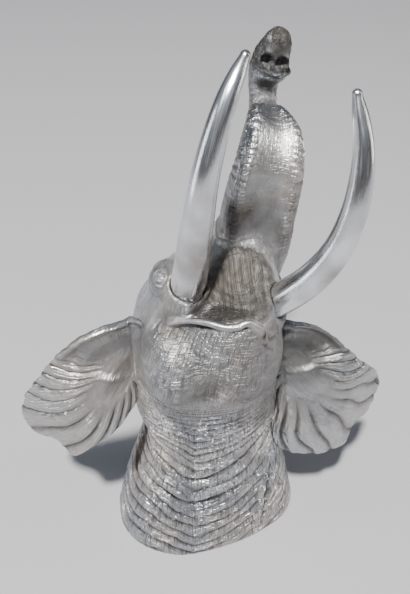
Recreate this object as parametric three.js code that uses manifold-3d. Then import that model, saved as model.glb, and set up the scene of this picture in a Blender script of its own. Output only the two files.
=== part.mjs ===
// Aluminium elephant head sculpture: a trumpeting elephant's head and neck, cut flat below.
// The elephant faces -Y and stands on the underside of its neck, at z = 0. Millimetres, +Z up.
// The head, with its neck, trunk and ears, is one casting. The two polished tusks are set in it.

import * as THREE from "three";
import { mergeVertices } from "three/addons/utils/BufferGeometryUtils.js";
import Module from "manifold-3d";

// Driving dimensions
const castHeight = 788;        // from the underside to the tip of the higher tusk
const measuredHeight = 788;    // the height at which the profiles below are written
const tuskRootRadius = 19.5;     // polished tusk where it leaves its socket
const tuskTipRadius = 3;
const tuskRootDepth = 34;      // tusk hidden inside its socket
const socketClearance = 0.6;   // between a tusk and the wall of its socket
const socketWall = 2.8;
const socketRise = 24;         // the socket's length outside the cheek
const cheekRelief = 45;        // how far past the socket the cheek is cut clear of the tusk
const earThickness = 9;
const lipRadius = 5;
const borderWidth = 11;        // ribbed border along each edge of the trunk's underside
const borderHeight = 4;
const nostrilRadius = 6.5;
const nostrilDepth = 22;

// Form
const neckSides = 48;
const neckRows = 38;
const trunkSides = 20;
const trunkRows = 34;
const tuskSides = 12;
const tuskRows = 16;
const foldPitch = 27;          // neck folds, measured up the neck
const foldDepth = 3.4;
const foldSag = 34;            // how far a fold drops between the neck's sides and its front
const trunkRibPitch = 17;
const trunkRibDepth = 1.6;

const k = castHeight / measuredHeight;
const vector = (x, y, z) => new THREE.Vector3(x, y, z);
const scaled = (x, y, z) => vector(x * k, y * k, z * k);
const clamp01 = (value) => Math.min(1, Math.max(0, value));
const bell = (distance, width) => Math.exp(-((distance / width) ** 2));

// A smooth profile through a few [place, value] pairs, in measured millimetres.
function profile(pairs) {
  const slope = (i) => {
    const before = pairs[Math.max(0, i - 1)];
    const after = pairs[Math.min(pairs.length - 1, i + 1)];
    return (after[1] - before[1]) / (after[0] - before[0]);
  };
  return (place) => {
    const last = pairs.length - 1;
    if (place <= pairs[0][0]) return pairs[0][1];
    if (place >= pairs[last][0]) return pairs[last][1];
    let i = 0;
    while (place > pairs[i + 1][0]) i += 1;
    const span = pairs[i + 1][0] - pairs[i][0];
    const t = (place - pairs[i][0]) / span;
    const startWeight = 2 * t ** 3 - 3 * t ** 2 + 1;
    const endWeight = 3 * t ** 2 - 2 * t ** 3;
    const startPull = (t ** 3 - 2 * t ** 2 + t) * span * slope(i);
    const endPull = (t ** 3 - t ** 2) * span * slope(i + 1);
    return startWeight * pairs[i][1] + endWeight * pairs[i + 1][1] + startPull + endPull;
  };
}

// A closed body through rings of points that all have the same count, with a fan at each end.
function loft(rings) {
  const count = rings[0].length;
  const positions = [];
  const faces = [];
  for (const ring of rings) {
    for (const point of ring) positions.push(point.x, point.y, point.z);
  }
  for (let row = 0; row + 1 < rings.length; row += 1) {
    for (let side = 0; side < count; side += 1) {
      const next = (side + 1) % count;
      const a = row * count + side;
      const b = row * count + next;
      faces.push(a, b, b + count, a, b + count, a + count);
    }
  }
  for (const [row, turned] of [[0, true], [rings.length - 1, false]]) {
    const centre = rings[row].reduce((sum, point) => sum.add(point), vector(0, 0, 0)).divideScalar(count);
    const hub = positions.length / 3;
    positions.push(centre.x, centre.y, centre.z);
    for (let side = 0; side < count; side += 1) {
      const here = row * count + side;
      const next = row * count + ((side + 1) % count);
      faces.push(...(turned ? [hub, next, here] : [hub, here, next]));
    }
  }
  const geometry = new THREE.BufferGeometry();
  geometry.setAttribute("position", new THREE.Float32BufferAttribute(positions, 3));
  geometry.setIndex(faces);
  return facingOut(geometry);
}

// Turns a closed body's faces round if they point inwards.
function facingOut(geometry) {
  const position = geometry.getAttribute("position");
  const index = geometry.getIndex();
  const corner = [vector(0, 0, 0), vector(0, 0, 0), vector(0, 0, 0)];
  let volume = 0;
  for (let i = 0; i < index.count; i += 3) {
    corner.forEach((point, j) => point.fromBufferAttribute(position, index.getX(i + j)));
    volume += corner[0].dot(corner[1].cross(corner[2]));
  }
  if (volume < 0) {
    const turned = [];
    for (let i = 0; i < index.count; i += 3) {
      turned.push(index.getX(i), index.getX(i + 2), index.getX(i + 1));
    }
    geometry.setIndex(turned);
  }
  return geometry;
}

// A body swept along a curve. The section gives [across, outward] for a share of the turn.
function sweep(curve, lateral, rows, sides, section) {
  const rings = [];
  for (let row = 0; row <= rows; row += 1) {
    const along = row / rows;
    const centre = curve.getPointAt(along);
    const tangent = curve.getTangentAt(along);
    const across = lateral.clone().addScaledVector(tangent, -lateral.dot(tangent)).normalize();
    const outward = across.clone().cross(tangent).normalize();
    const ring = [];
    for (let side = 0; side < sides; side += 1) {
      const [u, v] = section((side / sides) * 2 * Math.PI, along);
      ring.push(centre.clone().addScaledVector(across, u).addScaledVector(outward, v));
    }
    rings.push(ring);
  }
  return loft(rings);
}

const round = (radius) => (turn, along) => [radius(along) * Math.cos(turn), radius(along) * Math.sin(turn)];

// Joining and cutting
const wasm = await Module();
wasm.setup();

function solid(geometry) {
  const closed = geometry.clone();
  closed.deleteAttribute("normal");
  closed.deleteAttribute("uv");
  const merged = mergeVertices(closed, 1e-4);
  return new wasm.Manifold(new wasm.Mesh({
    numProp: 3,
    vertProperties: new Float32Array(merged.getAttribute("position").array),
    triVerts: new Uint32Array(merged.getIndex().array),
  }));
}

function asGeometry(body) {
  const mesh = body.getMesh();
  const geometry = new THREE.BufferGeometry();
  geometry.setAttribute("position", new THREE.BufferAttribute(new Float32Array(mesh.vertProperties), 3));
  geometry.setIndex(new THREE.BufferAttribute(new Uint32Array(mesh.triVerts), 1));
  return geometry;
}

// Neck, jaw and skull, as one loft of level sections from the underside to the brow
const halfWidth = profile([
  [0, 142], [55, 131], [100, 121], [150, 107], [200, 94], [235, 90], [272, 97], [340, 97], [400, 91],
  [440, 82], [490, 66], [530, 45], [548, 26],
]);
const middle = profile([
  [0, 1], [200, 4], [272, 1], [340, -1], [400, -1], [440, 4], [490, 14], [530, 30], [548, 37],
]);
const frontDepth = profile([
  [0, 101], [100, 97], [200, 86], [265, 84], [318, 90], [345, 104], [370, 123], [404, 134], [445, 138],
  [495, 134], [513, 124], [530, 96], [548, 50],
]);
const backDepth = profile([
  [0, 108], [80, 96], [160, 88], [220, 88], [280, 100], [340, 106], [390, 96], [430, 76], [470, 54],
  [515, 40], [548, 26],
]);
const neckTop = 548;

// The folds are level round the back of the neck and sag to a point under the throat.
function foldHeight(x, y, z) {
  const towardsFront = clamp01(0.5 - y / 160);
  const sag = foldSag * towardsFront * (1 - Math.abs(x) / 150);
  const phase = (z + sag) / foldPitch;
  const ripple = Math.abs(Math.sin(Math.PI * phase)) - 0.6;
  const onTheNeck = clamp01((300 - z) / 70) * clamp01(z / 12);
  return foldDepth * ripple * onTheNeck;
}

// Two jaw lobes hang either side of a crease under the chin.
function jawDepth(x, z) {
  const onTheJaw = bell(z - 425, 62);
  const crease = 17 * bell(x + 8, 11);
  const lobes = 7 * (bell(x + 50, 30) + bell(x - 36, 30));
  return onTheJaw * (lobes - crease);
}

// The foot's front edge runs back towards the elephant's left.
function footCut(across, z) {
  return 1 - 0.2 * clamp01(across + 0.35) * clamp01(1 - z / 190);
}

function neckSection(z) {
  const ring = [];
  for (let side = 0; side < neckSides; side += 1) {
    const turn = (side / neckSides) * 2 * Math.PI;
    const flatness = Math.sin(turn) < 0 ? 0.86 : 0.94;
    const across = Math.sign(Math.cos(turn)) * Math.abs(Math.cos(turn)) ** flatness;
    const along = Math.sign(Math.sin(turn)) * Math.abs(Math.sin(turn)) ** flatness;
    const throat = frontDepth(z) * footCut(across, z) + jawDepth(across * halfWidth(z), z);
    const depth = along < 0 ? throat : backDepth(z);
    const x = middle(z) + halfWidth(z) * across;
    const y = depth * along;
    const swell = 1 + foldHeight(x, y, z) / Math.hypot(x, y);
    ring.push(scaled(x * swell, y * swell, z));
  }
  return ring;
}

function makeNeckAndSkull() {
  const rings = [];
  for (let row = 0; row <= neckRows; row += 1) rings.push(neckSection((row / neckRows) * neckTop));
  return loft(rings);
}

// Trunk: up from the mouth, over backwards in an arch, down, and up again to its open tip
const headLean = THREE.MathUtils.degToRad(14);
const headLateral = vector(Math.cos(headLean), 0, -Math.sin(headLean));
const trunkCurve = new THREE.CatmullRomCurve3([
  scaled(22, 36, 420), scaled(44, 20, 480), scaled(56, 2, 530), scaled(58, -8, 575), scaled(61, -14, 608),
  scaled(65, -16, 638),
  scaled(70, 0, 664), scaled(72, 30, 668), scaled(75, 60, 652), scaled(78, 84, 660), scaled(80, 95, 688),
  scaled(84, 88, 714), scaled(87, 74, 725),
]);
const trunkWidth = profile([
  [0, 50], [0.12, 46], [0.25, 43], [0.4, 41], [0.5, 39], [0.6, 33], [0.7, 21], [0.82, 15.5], [0.92, 18],
  [1, 15],
]);
const trunkDepth = profile([
  [0, 48], [0.2, 44], [0.38, 36], [0.5, 29], [0.6, 24], [0.7, 19], [0.82, 16], [0.92, 19], [1, 19],
]);
const undersideEnd = 0.66;     // share of the trunk's length with a flat underside
const undersideFade = 0.08;
const undersideDepth = 0.6;    // the flat underside's distance from the centreline, of the full depth
const undersideCorner = 0.45;  // 1 is a round section, towards 0 it is a square one

function trunkSection(turn, along) {
  const wide = trunkWidth(along) * k;
  const deep = trunkDepth(along) * k;
  const ribPhase = (along * trunkCurve.getLength()) / trunkRibPitch;
  const rib = trunkRibDepth * Math.abs(Math.sin(Math.PI * ribPhase));
  const flat = Math.sin(turn) > 0 ? clamp01((undersideEnd - along) / undersideFade) : 0;
  const roundness = 1 - (1 - undersideCorner) * flat;
  const u = (wide + rib) * Math.sign(Math.cos(turn)) * Math.abs(Math.cos(turn)) ** roundness;
  const fromEdge = wide - Math.abs(u);
  const raised = borderHeight * bell(fromEdge - borderWidth, borderWidth * 0.7) * flat;
  const reach = (deep + rib) * (1 - (1 - undersideDepth) * flat) + raised;
  const v = reach * Math.sign(Math.sin(turn)) * Math.abs(Math.sin(turn)) ** roundness;
  return [u, v];
}

function makeTrunk() {
  return sweep(trunkCurve, headLateral, trunkRows, trunkSides, trunkSection);
}

// Tusks, with the sockets that hold them. side is -1 for the elephant's right and 1 for its left.
const tuskPath = {
  right: [
    [-28, -60, 474], [-30, -76, 525], [-27, -92, 575], [-21, -98, 632], [-12, -96, 690],
    [6, -80, 744], [29, -56, 781],
  ],
  left: [
    [28, -30, 446], [50, -58, 476], [76, -82, 512], [100, -97, 548], [121, -104, 592], [133, -102, 645],
    [136, -88, 696], [129, -66, 744],
  ],
};

function tuskCurve(points) {
  return new THREE.CatmullRomCurve3(points.map((point) => scaled(...point)));
}

const tuskTaper = profile([
  [0, 0.97], [0.15, 1], [0.35, 0.89], [0.6, 0.69], [0.8, 0.5], [0.93, 0.3], [1, 0.04],
]);
const tuskRadius = (along) => tuskTipRadius + (tuskRootRadius - tuskTipRadius) * tuskTaper(along);

// The tusk starts part-way along its path, at the bottom of its socket.
function tuskBody(points, start, end, extra) {
  const whole = tuskCurve(points);
  const length = whole.getLength();
  const first = start / length;
  const last = end === null ? 1 : end / length;
  const stretch = new THREE.CatmullRomCurve3(
    Array.from({ length: tuskRows + 1 }, (_, i) => {
      const share = first + ((last - first) * i) / tuskRows;
      return whole.getPointAt(Math.min(1, share));
    }),
  );
  const radius = (along) => tuskRadius(first + (last - first) * along) + extra;
  const rows = end === null ? tuskRows : 5;
  return sweep(stretch, vector(1, 0, 0), rows, tuskSides, round(radius));
}

const tuskStart = 14;
const tuskEmerges = tuskStart + tuskRootDepth;

const makeTusk = (points) => tuskBody(points, tuskStart, null, 0);
const makeSocket = (points) => tuskBody(points, 0, tuskEmerges + socketRise, socketClearance + socketWall);
const makeSocketBore = (points) =>
  tuskBody(points, tuskStart - socketClearance, tuskEmerges + socketRise + cheekRelief, socketClearance);

// Ears: curved sheets with a scalloped rim and folds that fan out from the ear's root
const earPath = {
  right: {
    hub: [-104, 372],
    rim: [
      [-80, 440], [-109, 456], [-141, 455], [-171, 432], [-198, 393], [-220, 353], [-245, 303], [-255, 250],
      [-240, 230], [-213, 238], [-194, 213], [-158, 244], [-126, 268], [-105, 290], [-86, 318],
    ],
  },
  left: {
    hub: [108, 350],
    rim: [
      [84, 412], [117, 427], [145, 414], [178, 376], [208, 335], [243, 286], [260, 250], [259, 205],
      [247, 178], [226, 188], [213, 152], [176, 160], [133, 170], [100, 178], [91, 209], [84, 262],
    ],
  },
};
const earSteps = 6;
const rimSteps = 40;

function earSheet(x, z, hub) {
  const out = clamp01((Math.abs(x) - 95) / 160);
  const low = clamp01((hub[1] - z) / 160);
  const cup = 26 * Math.sin(Math.PI * out ** 0.8);
  return -22 - cup + 26 * out ** 2 - 16 * low * (1 - out);
}

function makeEar({ hub, rim }) {
  const outline = new THREE.CatmullRomCurve3(rim.map(([x, z]) => vector(x, 0, z)), true);
  const front = [];
  const back = [];
  for (let step = 0; step <= earSteps; step += 1) {
    const reach = step / earSteps;
    const frontRing = [];
    const backRing = [];
    for (let i = 0; i < rimSteps; i += 1) {
      const edge = outline.getPoint(i / rimSteps);
      const x = hub[0] + (edge.x - hub[0]) * reach;
      const z = hub[1] + (edge.z - hub[1]) * reach;
      const bearing = Math.atan2(z - hub[1], Math.abs(x - hub[0]));
      const lower = clamp01(0.4 - bearing);
      const fold = 4.5 * Math.cos(bearing * 14) * lower * reach;
      const thick = earThickness * (1 - 0.55 * reach ** 2);
      const y = earSheet(x, z, hub) + fold;
      frontRing.push(scaled(x, y - thick / 2, z));
      backRing.push(scaled(x, y + thick / 2, z));
    }
    front.push(frontRing);
    back.push(backRing);
  }
  front[0] = front[0].map(() => front[0][0].clone());
  back[0] = back[0].map(() => back[0][0].clone());
  return loft([...front.slice(1), ...back.slice(1).reverse()]);
}

// Mouth cavity, lower lip, eyes and nostrils
function ellipsoid(centre, radii, lean = 0) {
  const geometry = new THREE.SphereGeometry(1, 14, 10);
  geometry.scale(radii[0] * k, radii[1] * k, radii[2] * k);
  geometry.rotateY(lean);
  geometry.translate(centre[0] * k, centre[1] * k, centre[2] * k);
  return geometry;
}

function makeLip() {
  const curve = new THREE.CatmullRomCurve3([
    scaled(-44, -83, 499), scaled(-35, -93, 505), scaled(-25, -102, 511), scaled(-10, -115, 516),
    scaled(5, -124, 515), scaled(17, -125, 516), scaled(27, -123, 519), scaled(36, -122, 514),
    scaled(43, -119, 507), scaled(50, -111, 498),
  ]);
  return sweep(curve, vector(0, 0, 1), 22, 10, round(() => lipRadius));
}

const nostrilPlaces = [[78, 70, 716], [95, 70, 712]];

function nostril(place) {
  const [x, y, z] = place;
  const curve = new THREE.LineCurve3(scaled(x, y - 12, z + 2), scaled(x, y + nostrilDepth, z - 6));
  return sweep(curve, vector(1, 0, 0), 1, 12, round(() => nostrilRadius));
}

// Assembly
const castParts = [
  makeTrunk(),
  makeEar(earPath.right),
  makeEar(earPath.left),
  ellipsoid([-44, 10, 475], [22, 23, 24], headLean),
  ellipsoid([78, 10, 445], [22, 23, 24], headLean),
];
const palate = ellipsoid([20, -48, 492], [54, 46, 42], headLean);
const palateScoop = ellipsoid([30, -95, 590], [60, 61, 74]);
const mouthParts = [makeLip(), makeSocket(tuskPath.right), makeSocket(tuskPath.left)];
const mouth = ellipsoid([16, -108, 540], [30, 14, 44]);
const holes = [
  makeSocketBore(tuskPath.right),
  makeSocketBore(tuskPath.left),
  ...nostrilPlaces.map(nostril),
];

let head = solid(makeNeckAndSkull()).add(solid(palate)).subtract(solid(palateScoop));
for (const part of castParts) head = head.add(solid(part));
head = head.subtract(solid(mouth));
for (const part of mouthParts) head = head.add(solid(part));
for (const hole of holes) head = head.subtract(solid(hole));

const castFinish = new THREE.MeshStandardMaterial({ color: 0xa3a5a8, roughness: 0.38, metalness: 1 });
const polishedFinish = new THREE.MeshStandardMaterial({ color: 0xc9ccd1, roughness: 0.14, metalness: 1 });

const sculpture = new THREE.Group();

function addPiece(name, geometry, material) {
  const mesh = new THREE.Mesh(geometry, material);
  mesh.name = name;
  sculpture.add(mesh);
}

addPiece("head", asGeometry(head), castFinish);
addPiece("tusk_right", makeTusk(tuskPath.right), polishedFinish.clone());
addPiece("tusk_left", makeTusk(tuskPath.left), polishedFinish.clone());

export default sculpture;
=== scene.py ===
"""Aluminium elephant head sculpture: the finished surfaces around the fixed frame.

The casting is one skin drawn from a field of smooth forms, then carved with hide folds.
The ears are cupped sheets with a rolled rim, and the tusks are polished and set in sockets.
"""

import math

import bpy
import numpy as np
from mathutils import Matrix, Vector


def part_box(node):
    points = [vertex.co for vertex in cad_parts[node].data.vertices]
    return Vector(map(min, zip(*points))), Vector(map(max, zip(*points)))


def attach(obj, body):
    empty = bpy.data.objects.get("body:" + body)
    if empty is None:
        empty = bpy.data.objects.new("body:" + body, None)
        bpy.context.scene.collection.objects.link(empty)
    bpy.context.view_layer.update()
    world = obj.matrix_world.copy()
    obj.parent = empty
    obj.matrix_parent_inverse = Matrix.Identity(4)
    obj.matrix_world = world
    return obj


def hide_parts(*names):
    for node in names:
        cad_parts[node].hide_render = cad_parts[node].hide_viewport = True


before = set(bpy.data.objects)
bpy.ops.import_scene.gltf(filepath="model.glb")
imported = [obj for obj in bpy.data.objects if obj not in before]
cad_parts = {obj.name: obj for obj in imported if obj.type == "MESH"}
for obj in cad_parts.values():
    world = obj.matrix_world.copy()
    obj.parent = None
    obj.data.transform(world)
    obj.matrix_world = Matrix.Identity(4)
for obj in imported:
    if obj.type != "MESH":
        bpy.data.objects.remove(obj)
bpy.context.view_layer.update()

bl_info = {
    "name": "Aluminium elephant head",
    "version": (1, 0, 0),
    "blender": (4, 5, 0),
    "location": "View3D > Sidebar > Elephant head",
    "description": "Builds the casting, ears, tusks and stage of an aluminium elephant head sculpture",
    "category": "Add Mesh",
}

MODELLED_TOP = 783.543
MM = (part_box("tusk_right")[1][2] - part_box("head")[0][2]) / MODELLED_TOP


# Small numeric helpers. Lengths in the form functions are millimetres.

def clamp01(value):
    return np.clip(value, 0.0, 1.0)


def ease(low, high, value):
    """Runs smoothly from 0 at low to 1 at high."""
    t = clamp01((value - low) / (high - low))
    return t * t * (3 - 2 * t)


def bell(distance, width):
    return np.exp(-(distance / width) ** 2)


def blend_min(a, b, soft):
    """Union of two forms with a fillet of about soft millimetres."""
    h = np.maximum(soft - np.abs(a - b), 0) / soft
    return np.minimum(a, b) - h * h * soft / 4


def blend_max(a, b, soft):
    return -blend_min(-a, -b, soft)


def profile(pairs):
    """A smooth curve through a few (place, value) pairs."""
    places = np.array([p for p, _ in pairs], float)
    values = np.array([v for _, v in pairs], float)
    slopes = np.empty(len(pairs))
    slopes[1:-1] = (values[2:] - values[:-2]) / (places[2:] - places[:-2])
    slopes[0] = (values[1] - values[0]) / (places[1] - places[0])
    slopes[-1] = (values[-1] - values[-2]) / (places[-1] - places[-2])

    def curve(place):
        place = np.clip(place, places[0], places[-1])
        i = np.clip(np.searchsorted(places, place, side="right") - 1, 0, len(places) - 2)
        span = places[i + 1] - places[i]
        t = (place - places[i]) / span
        return (
            (2 * t ** 3 - 3 * t ** 2 + 1) * values[i]
            + (3 * t ** 2 - 2 * t ** 3) * values[i + 1]
            + (t ** 3 - 2 * t ** 2 + t) * span * slopes[i]
            + (t ** 3 - t ** 2) * span * slopes[i + 1]
        )

    return curve


WAVE_COUNT = 7
WAVE_SPREAD = 3.2
CURVE_STEPS = 24


def waves(points, length, seed):
    """Smooth uneven noise between about -1 and 1, the same on every run."""
    rng = np.random.default_rng(seed)
    total = np.zeros(points.shape[:-1])
    for _ in range(WAVE_COUNT):
        direction = rng.normal(size=3)
        direction /= np.linalg.norm(direction)
        turns = rng.uniform(0.6, 1.6) * 2 * math.pi / length
        total += np.sin(points @ direction * turns + rng.uniform(0, 2 * math.pi))
    return total / WAVE_SPREAD


def smooth_path(points, count, closed=False):
    """Points along a centripetal Catmull-Rom curve, evenly spaced by length."""
    p = np.array(points, float)
    p = np.vstack([p[-1], p, p[:2]]) if closed else np.vstack([2 * p[0] - p[1], p, 2 * p[-1] - p[-2]])
    fine = []
    for a, b, c, d in zip(p[:-3], p[1:-2], p[2:-1], p[3:]):
        t0 = 0.0
        t1 = t0 + np.linalg.norm(b - a) ** 0.5
        t2 = t1 + np.linalg.norm(c - b) ** 0.5
        t3 = t2 + np.linalg.norm(d - c) ** 0.5
        for t in np.linspace(t1, t2, CURVE_STEPS, endpoint=False):
            ab = a + (b - a) * (t - t0) / (t1 - t0)
            bc = b + (c - b) * (t - t1) / (t2 - t1)
            cd = c + (d - c) * (t - t2) / (t3 - t2)
            abc = ab + (bc - ab) * (t - t0) / (t2 - t0)
            bcd = bc + (cd - bc) * (t - t1) / (t3 - t1)
            fine.append(abc + (bcd - abc) * (t - t1) / (t2 - t1))
    fine.append(p[-2])
    fine = np.array(fine)
    steps = np.concatenate([[0], np.cumsum(np.linalg.norm(np.diff(fine, axis=0), axis=1))])
    at = np.linspace(0, steps[-1], count)
    return np.stack([np.interp(at, steps, fine[:, i]) for i in range(3)], axis=1)


def path_frame(path, lateral):
    """The tangent, the across direction and the outward direction at each point of a path."""
    tangent = np.gradient(path, axis=0)
    tangent /= np.linalg.norm(tangent, axis=1)[:, None]
    across = lateral - (tangent @ lateral)[:, None] * tangent
    across /= np.linalg.norm(across, axis=1)[:, None]
    return tangent, across, np.cross(across, tangent)


# Form of the casting

HEAD_LEAN = math.radians(14)
LATERAL = np.array([math.cos(HEAD_LEAN), 0.0, -math.sin(HEAD_LEAN)])

# The neck and head by height: half width, middle, and depth to the front and to the back.
half_width = profile([
    (0, 142), (55, 131), (100, 121), (150, 107), (200, 94), (235, 90), (272, 97), (340, 96),
    (400, 90), (440, 81), (490, 65), (530, 45), (548, 26),
])
middle = profile([
    (0, 1), (200, 4), (272, 1), (340, -1), (400, -1), (440, 4), (490, 14), (530, 30), (548, 37),
])
front_depth = profile([
    (0, 101), (100, 97), (200, 86), (265, 84), (318, 88), (345, 97), (370, 110), (404, 122),
    (445, 131), (495, 132), (513, 124), (530, 96), (548, 50),
])
back_depth = profile([
    (0, 108), (80, 96), (160, 88), (220, 88), (280, 100), (340, 106), (390, 96), (430, 76),
    (470, 54), (515, 40), (548, 26),
])
NECK_TOP = 548
FRONT_ROUNDNESS = 2 / 0.86
BACK_ROUNDNESS = 2 / 0.94
FOOT_HEIGHT = 190
CREASE_DEPTH = 9
CREASE_SLANT = 0.32

# The trunk's middle line from inside the skull to its raised end, with its width and depth along it.
TRUNK_POINTS = [
    (22, 36, 420), (44, 20, 480), (56, 2, 530), (58, -8, 575), (61, -14, 608), (65, -16, 638),
    (70, 0, 664), (72, 30, 668), (75, 60, 652), (78, 84, 660), (80, 95, 688), (84, 88, 714), (87, 74, 725),
]
trunk_width = profile([
    (0, 50), (0.12, 46), (0.25, 43), (0.4, 41), (0.5, 39), (0.6, 33), (0.7, 21), (0.82, 15.5),
    (0.92, 18), (1, 15),
])
trunk_depth = profile([
    (0, 48), (0.2, 44), (0.38, 36), (0.5, 29), (0.6, 24), (0.7, 19), (0.82, 16), (0.92, 19), (1, 19),
])
BORDER_WIDTH = 11
BORDER_HEIGHT = 4

# Each tusk's middle line from its buried root to its point.
TUSK_POINTS = {
    "tusk_right": [
        (-28, -60, 474), (-30, -76, 525), (-27, -92, 575), (-21, -98, 632), (-12, -96, 690), (6, -80, 744),
        (29, -56, 781),
    ],
    "tusk_left": [
        (28, -30, 446), (50, -58, 476), (76, -82, 512), (100, -97, 548), (121, -104, 592), (133, -102, 645),
        (136, -88, 696), (129, -66, 744),
    ],
}
TUSK_ROOT_RADIUS = 19.5
TUSK_TIP_RADIUS = 3
TUSK_START = 14
SOCKET_RIM = 72
SOCKET_WALL = 4.2
RIM_DEPTH = 11
tusk_taper = profile([
    (0, 0.97), (0.15, 1), (0.35, 0.89), (0.6, 0.69), (0.8, 0.5), (0.93, 0.3), (1, 0.04),
])

# Places on the elephant's right, then on its left.
EYES = [(-53, -5, 490), (87, -5, 458)]
BROWS = [(-44, 10, 475), (78, 10, 445)]
BROW_RADII = (22, 23, 24)

# Centre, radii and fillet of the jaw's two lobes, the palate and the two domes behind the neck.
ROUND_FORMS = [
    ((-48, -83, 434), (39, 56, 54), 10),
    ((30, -76, 428), (46, 56, 62), 26),
    ((20, -48, 490), (52, 46, 42), 16),
    ((-34, 58, 392), (46, 44, 44), 26),
    ((36, 58, 388), (46, 44, 44), 26),
]
SCOOP = ((30, -95, 590), (60, 61, 74))
MOUTH = ((6, -104.5, 540), (36, 11, 50))
LIP_RADIUS = 3.7
SOCKET_FILLETS = {"tusk_right": 11, "tusk_left": 20}
BORE_GAP = 0.5

NOSTRILS = np.array([[75.0, 70.0, 716.5], [92.0, 70.0, 712.5]])
NOSTRIL_WALL = (5.5, 9.5)
NOSTRIL_BOWL = (8.2, 13, 8.2)
BOWL_FORWARD = (0, -10.5, 0)
FINGER = ((89, 78, 735), (11.5, 11, 11.5))
SKIRT = ((84, 82, 699), (20, 15, 15))
SNOUT_RIM_RADIUS = 3

# Regions where the trunk, the face and the trunk's end are worked out, and the field beyond them.
TRUNK_REGION_LOW = 410
FACE_REGION = (400, 660)
FACE_REGION_BACK = 40
TIP_REGION_LOW = 675
FAR_FROM_TRUNK = 60.0

TRUNK_PATH = smooth_path(TRUNK_POINTS, 130)
TRUNK_TANGENT, TRUNK_ACROSS, TRUNK_OUTWARD = path_frame(TRUNK_PATH, LATERAL)
TUSK_PATHS = {name: smooth_path(points, 80) for name, points in TUSK_POINTS.items()}
LIP_PATH = smooth_path([
    (-50, -86, 493), (-44, -91.5, 499), (-37, -96, 504), (-26, -104, 510), (-10, -116, 515), (5, -124, 515),
    (17, -125.5, 516), (27, -124.5, 519), (36, -124.5, 513), (44, -124, 503), (47, -125, 491),
], 60)
SNOUT_RIM = smooth_path([(64, 78, 712), (72, 70, 707), (84, 67, 703), (95, 69, 699), (103, 77, 697)], 24)


def nearest_on_path(points, path):
    """The distance to a path, and the share of its length at which it is nearest, for each point."""
    stride = 8
    coarse = path[::stride]
    first = np.argmin(((points[:, None, :] - coarse) ** 2).sum(axis=2), axis=1) * stride
    best = np.full(len(points), np.inf)
    share = np.zeros(len(points))
    for offset in range(-stride, stride):
        i = np.clip(first + offset, 0, len(path) - 2)
        start, end = path[i], path[i + 1]
        step = end - start
        t = clamp01(np.einsum("ij,ij->i", points - start, step) / np.einsum("ij,ij->i", step, step))
        gap = points - start - t[:, None] * step
        distance = np.einsum("ij,ij->i", gap, gap)
        closer = distance < best
        best[closer] = distance[closer]
        share[closer] = i[closer] + t[closer]
    return np.sqrt(best), share / (len(path) - 1)


def on_path(values, share):
    """Vectors stored at a path's points, read at a share of its length."""
    at = share * (len(values) - 1)
    return np.stack([np.interp(at, np.arange(len(values)), values[:, i]) for i in range(3)], axis=1)


def in_oval(points, centre, radii):
    """How far out each point lies in an ellipsoid: 0 at its centre, 1 on its surface."""
    return np.linalg.norm((points - np.asarray(centre, float)) / radii, axis=1)


def oval(points, centre, radii):
    """Distance to an ellipsoid, negative inside and near enough for blending."""
    length = in_oval(points, centre, radii)
    return (length - 1) * min(radii) * (0.4 + 0.6 * length) / np.maximum(length, 0.3)


def neck_form(points):
    """The neck and head, with a crease between the jaw's lobes."""
    x, y, z = points.T
    width = half_width(z)
    across = (x - middle(z)) / width
    foot_cut = 1 - 0.2 * clamp01(across + 0.35) * clamp01(1 - z / FOOT_HEIGHT)
    crease = CREASE_DEPTH * bell(x + 6 - CREASE_SLANT * (z - 425), 13) * bell(z - 428, 62)
    front = front_depth(z) * foot_cut - crease
    depth = np.where(y < 0, front, back_depth(z))
    power = np.where(y < 0, FRONT_ROUNDNESS, BACK_ROUNDNESS)
    reach = (np.abs(across) ** power + np.abs(y / depth) ** power) ** (1 / power)
    radial = np.hypot(x - middle(z), y) * (1 - 1 / np.maximum(reach, 0.05)) * 0.93
    return blend_max(radial, z - NECK_TOP, 14)


def trunk_local(points):
    """Across, outward and along coordinates in the trunk's own frame."""
    _, share = nearest_on_path(points, TRUNK_PATH)
    gap = points - on_path(TRUNK_PATH, share)
    u = np.einsum("ij,ij->i", gap, on_path(TRUNK_ACROSS, share))
    v = np.einsum("ij,ij->i", gap, on_path(TRUNK_OUTWARD, share))
    w = np.einsum("ij,ij->i", gap, on_path(TRUNK_TANGENT, share))
    return u, v, w, share


def trunk_form(points):
    """The trunk: round on its outer side, with a wide flat underside between raised borders."""
    u, v, w, share = trunk_local(points)
    wide = trunk_width(share)
    strip = ease(0.75, 0.66, share) * (v > 0)
    from_edge = wide - np.abs(u)
    raised = BORDER_HEIGHT * bell(from_edge - BORDER_WIDTH, BORDER_WIDTH * 0.7) - 3 * bell(u, wide * 0.5)
    deep = trunk_depth(share) * (1 - 0.4 * strip) + raised * strip
    power = 2 + 2.6 * strip
    reach = ((np.abs(u) / wide) ** power + (np.abs(v) / deep) ** power) ** (1 / power)
    tube = np.hypot(u, v) * (1 - 1 / np.maximum(reach, 0.05))
    return np.maximum(tube, np.abs(w) - 6)


def socket_form(points, name):
    """A tusk's socket, with the distance to the tusk's middle line and the place along it."""
    path = TUSK_PATHS[name]
    length = np.linalg.norm(np.diff(path, axis=0), axis=1).sum()
    distance, share = nearest_on_path(points, path)
    along = share * length
    flare = 5 * clamp01(1 - (along - 10) / 50) ** 2
    radius = tusk_radius(share) + SOCKET_WALL + flare
    return blend_max(distance - radius, along - SOCKET_RIM, 2.5), distance, along, share


def tusk_radius(share):
    return TUSK_TIP_RADIUS + (TUSK_ROOT_RADIUS - TUSK_TIP_RADIUS) * tusk_taper(share)


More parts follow.
